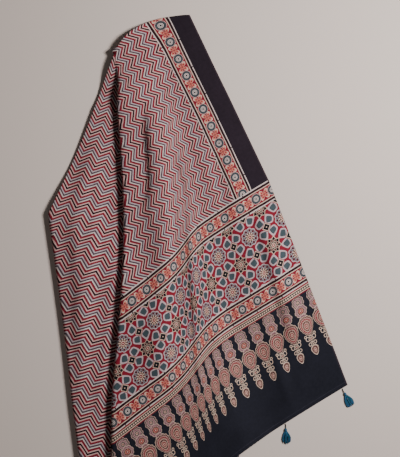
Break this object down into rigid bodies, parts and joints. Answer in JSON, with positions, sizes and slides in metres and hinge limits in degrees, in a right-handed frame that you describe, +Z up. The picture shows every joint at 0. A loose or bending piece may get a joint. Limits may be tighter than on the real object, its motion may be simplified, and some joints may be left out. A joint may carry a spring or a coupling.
{
  "type": "ajrakh cloth",
  "caption": "Long block-printed cotton cloth with tassels along one end, folded in layers across its middle, pleated once and laid flat with its print up.",
  "frame": {"origin": "centre of the whole outline in plan, on the surface the cloth lies on", "axes": "+Z up, away from the surface; +Y along the cloth towards the fold across its middle; +X to the right, towards the neck side selvedge"},
  "size_m": [0.6348, 1.385, 0.0499],
  "materials": {
    "printed_cotton": "matte block-printed cotton",
    "tassel_yarn": "matte twisted yarn"
  },
  "bodies": {
    "root": {"cloth": "printed_cotton", "tassel_1": "tassel_yarn", "tassel_2": "tassel_yarn", "tassel_3": "tassel_yarn", "tassel_4": "tassel_yarn", "tassel_5": "tassel_yarn", "tassel_6": "tassel_yarn", "tassel_7": "tassel_yarn", "tassel_8": "tassel_yarn"}
  },
  "joints": []
}
